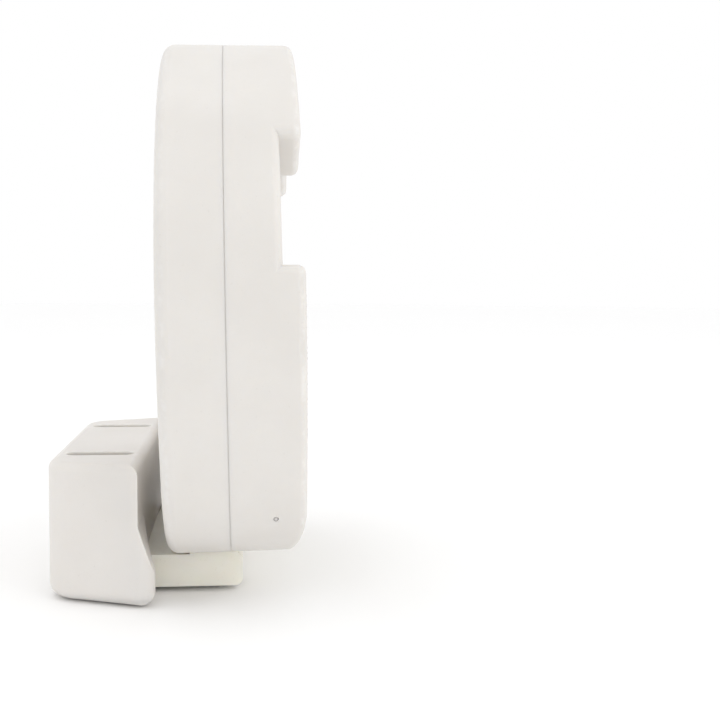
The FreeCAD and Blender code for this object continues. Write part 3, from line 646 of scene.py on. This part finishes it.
def screw_set(name, node, steel, tree):
    """Pan-headed screws with a cross recess and a rolled thread, head down in the base plate."""
    places = islands(node)
    low, high = places[0]
    head_r = (high.x - low.x) / 2
    length = high.z - low.z
    head = SCREW_HEAD
    steps = [(0.0, 0.0), (head_r * 0.55, 0.0), (head_r * 0.80, 0.22 * MM), (head_r * 0.94, 0.7 * MM),
             (head_r, 1.5 * MM), (head_r, head - 0.2 * MM), (head_r - 0.2 * MM, head),
             (CORE_RADIUS + 0.3 * MM, head), (CORE_RADIUS, head + SHANK_FILLET),
             (CORE_RADIUS, length - SCREW_POINT), (0.5 * MM, length), (0.0, length)]
    piece = new_piece(name, turned_profile(steps, SCREW_SIDES), steel)
    spots = bmesh.new()
    for low, high in places:
        spots.verts.new(((low.x + high.x) / 2, (low.y + high.y) / 2, low.z))
    helper = new_piece(name + "_places", spots, steel)
    sizes = {"Places": helper, "Thread start": head + THREAD_ABOVE_HEAD,
             "Thread height": length - head - THREAD_ENDS, "Steel": steel}
    grown(piece, tree, sizes)
    bpy.data.objects.remove(helper)
    return place(piece, "block", "steel", node)


def ridge_tree():
    """Lays half-round ridges across the top of a block, evenly along X."""
    shape = Shape("ridged_top", {"Count": "Int", "Radius": "Float", "Margin": "Float", "Rubber": "Material"})
    radius = shape.size("Radius")
    margin = shape.size("Margin")
    bounds = shape.node("GeometryNodeBoundBox", {}, {0: shape.given}, "Min")
    low = shape.split(bounds)
    high = shape.split(bounds.at("Max"))
    start = shape.node("ShaderNodeCombineXYZ", {}, {
        "X": low + margin, "Y": (low.at("Y") + high.at("Y")) * 0.5, "Z": high.at("Z")})
    end = shape.node("ShaderNodeCombineXYZ", {}, {
        "X": high - margin, "Y": (low.at("Y") + high.at("Y")) * 0.5, "Z": high.at("Z")})
    line = shape.node("GeometryNodeMeshLine", {"mode": "END_POINTS"}, {
        "Count": shape.size("Count"), "Start Location": start, "Offset": end})
    points = shape.node("GeometryNodeMeshToPoints", {}, {"Mesh": line})
    rod = shape.node("GeometryNodeMeshCylinder", {}, {
        "Vertices": 12, "Radius": radius, "Depth": high.at("Y") - low.at("Y") - margin * 1.2}, "Mesh")
    ridges = shape.node("GeometryNodeInstanceOnPoints", {}, {
        "Points": points, "Instance": rod, "Rotation": (math.pi / 2, 0.0, 0.0)})
    joined = shape.node("GeometryNodeJoinGeometry", {}, {"Geometry": [shape.given, ridges]})
    return shape.finish(joined, shape.size("Rubber"))


def block_between(low, high):
    shape = bmesh.new()
    bmesh.ops.create_cube(shape, size=1.0)
    size = high - low
    bmesh.ops.transform(shape, verts=shape.verts,
                        matrix=Matrix.Translation((low + high) / 2) @ Matrix.Diagonal((*size, 1.0)))
    return shape


def stop_buffers(rubber):
    """Two ridged rubber buttons that the raised ring leans on."""
    tree = ridge_tree()
    for side, (low, high) in zip(("left", "right"), islands("stop_buffers")):
        top = Vector((high.x, high.y, high.z - RIDGE_RADIUS))
        shape = block_between(low, top)
        upright = [e for e in shape.edges if abs(e.verts[0].co.z - e.verts[1].co.z) > MM]
        bmesh.ops.bevel(shape, geom=upright, offset=BUFFER_CORNER, segments=5, profile=0.5, affect="EDGES")
        rim = [e for e in shape.edges if all(v.co.z > top.z - 0.01 * MM for v in e.verts)]
        bmesh.ops.bevel(shape, geom=rim, offset=BUFFER_EDGE, segments=4, profile=0.5, affect="EDGES")
        piece = new_piece("stop_buffer_" + side, shape, rubber)
        grown(piece, tree, {"Count": RIDGE_COUNT, "Radius": RIDGE_RADIUS, "Margin": RIDGE_MARGIN,
                            "Rubber": rubber})
        place(piece, "block", "grip_rubber", "stop_buffers")


def vent_plug(white):
    """Domed plug with a rounded shoulder, in the ring's blow vent."""
    low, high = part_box("vent_plug")
    radius = (high.z - low.z) / 2
    length = high.x - low.x
    steps = [(0.0, 0.0), (radius * 0.45, 0.05 * MM), (radius * 0.8, 0.28 * MM), (radius * 0.97, 0.7 * MM),
             (radius, 1.1 * MM), (radius, length - 0.5 * MM), (radius - 0.4 * MM, length), (0.0, length)]
    shape = turned_profile(steps, 24)
    middle = Vector((low.x, (low.y + high.y) / 2, (low.z + high.z) / 2))
    bmesh.ops.transform(shape, verts=shape.verts,
                        matrix=Matrix.Translation(middle) @ Matrix.Rotation(math.pi / 2, 4, "Y"))
    place(new_piece("vent_cap", shape, white), "ring", "moulding_white", "vent_plug")


def pin_lock(side, nylon):
    """Snap-in plate: a round top behind the pin's head, a waist, and a foot with two barbs."""
    node = "pin_lock_" + side
    low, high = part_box(node)
    middle = (low.y + high.y) / 2
    half = (high.y - low.y) / 2
    arc = [math.pi * i / 10 for i in range(11)]
    crown = [(middle + half * math.cos(a), high.z - half + half * math.sin(a)) for a in arc]
    waist = half * 0.72
    span = high.z - half - low.z
    left = [(middle - half, low.z + span * 0.62), (middle - waist, low.z + span * 0.5),
            (middle - waist, low.z + span * 0.3), (middle - half, low.z + span * 0.2),
            (middle - waist, low.z)]
    right = [(2 * middle - y, z) for y, z in reversed(left)]
    shape = bmesh.new()
    corners = [shape.verts.new((low.x, y, z)) for y, z in crown + left + right]
    face = shape.faces.new(corners)
    pushed = bmesh.ops.extrude_face_region(shape, geom=[face])
    moved = [g for g in pushed["geom"] if isinstance(g, bmesh.types.BMVert)]
    bmesh.ops.translate(shape, verts=moved, vec=Vector((high.x - low.x, 0.0, 0.0)))
    bmesh.ops.recalc_face_normals(shape, faces=shape.faces)
    rims = [e for e in shape.edges if abs(e.verts[0].co.x - e.verts[1].co.x) < 1e-7]
    bmesh.ops.bevel(shape, geom=rims, offset=LOCK_EDGE, segments=2, profile=0.5, affect="EDGES")
    place(new_piece("pin_retainer_" + side, shape, nylon), "block", "lock_nylon", node)


def paint(nodes, material):
    """Gives CAD nodes that stay a better material."""
    for node in nodes:
        mesh = frame["nodes"][node].data
        mesh.materials.clear()
        mesh.materials.append(material)


# Picture

def add_floor():
    shape = bmesh.new()
    bmesh.ops.create_circle(shape, cap_ends=True, radius=FLOOR_RADIUS, segments=96)
    floor = new_piece("studio_floor", shape, floor_finish())
    floor.data.transform(Matrix.Translation((0.0, 0.0, -FLOOR_BELOW)))


def add_soft_light(name, place_at, aim, size, watts):
    light = bpy.data.lights.new(name, "AREA")
    light.shape = "DISK"
    light.size = size
    light.energy = watts
    lamp = bpy.data.objects.new(name, light)
    lamp.location = place_at
    lamp.rotation_mode = "QUATERNION"
    lamp.rotation_quaternion = (Vector(aim) - Vector(place_at)).to_track_quat("-Z", "Y")
    bpy.context.scene.collection.objects.link(lamp)


def add_studio():
    world = bpy.data.worlds.new("pale_studio")
    bpy.context.scene.world = world
    world.use_nodes = True
    sky = world.node_tree.nodes["Background"]
    sky.inputs["Color"].default_value = rgb(1.0, 1.0, 1.0)
    sky.inputs["Strength"].default_value = 1.0
    bpy.context.scene.view_settings.view_transform = "Standard"
    add_soft_light("key", (-1.3, -1.5, 1.7), AIM, 1.4, 6.0)
    add_soft_light("overhead", (0.2, 0.6, 2.2), AIM, 2.0, 3.0)


def add_camera():
    """Looks across the riser from its left, a little down."""
    data = bpy.data.cameras.new("side_view")
    data.lens = CAMERA_LENS
    data.sensor_width = CAMERA_SENSOR
    camera = bpy.data.objects.new("side_view", data)
    level = math.cos(CAMERA_DIP)
    ahead = Vector((math.cos(CAMERA_HEADING) * level, -math.sin(CAMERA_HEADING) * level,
                    -math.sin(CAMERA_DIP)))
    camera.location = CAMERA_PLACE
    camera.rotation_mode = "QUATERNION"
    camera.rotation_quaternion = ahead.to_track_quat("-Z", "Y") @ Quaternion((0.0, 0.0, 1.0), CAMERA_ROLL)
    bpy.context.scene.collection.objects.link(camera)
    bpy.context.scene.camera = camera


# The riser

def build():
    ring_white = ring_finish()
    block_white = block_finish()
    rubber = rubber_finish("grip_rubber", rgb(0.42, 0.42, 0.41), rgb(0.58, 0.57, 0.55))
    steel = steel_finish()
    paint(["ring_deck_shell", "ring_base_shell"], ring_white)
    paint(["block_housing", "block_base"], block_white)
    paint(["hinge_tongue"], tongue_finish())
    paint(["hinge_pin_left", "hinge_pin_right"], steel)
    paint(["hinge_bush_left", "hinge_bush_right"],
          slick_finish("bush_acetal", rgb(0.86, 0.86, 0.84), rgb(0.78, 0.78, 0.75), 3 * MM, 0.28))
    paint(["slot_sleeve_left", "slot_sleeve_right"],
          slick_finish("sleeve_nylon", rgb(0.76, 0.75, 0.71), rgb(0.68, 0.67, 0.62), 6 * MM, 0.45))
    nubs = nub_tree()
    for end in ("front", "rear"):
        for side in ("left", "right"):
            grip_strip(f"rim_strip_{end}_{side}", f"rim_pad_{end}_{side}", "ring", rubber, nubs, True)
    grip_strip("block_grip_strips", "block_grip_pads", "block", rubber, nubs, False)
    screws = screw_tree()
    screw_set("base_screw_set", "base_screws", steel, screws)
    screw_set("tongue_screw_set", "tongue_screws", steel, screws)
    stop_buffers(rubber)
    vent_plug(ring_white)
    lock = slick_finish("lock_nylon", rgb(0.050, 0.050, 0.053), rgb(0.085, 0.085, 0.088), 5 * MM, 0.48)
    pin_lock("left", lock)
    pin_lock("right", lock)


build()
add_floor()
add_studio()
add_camera()
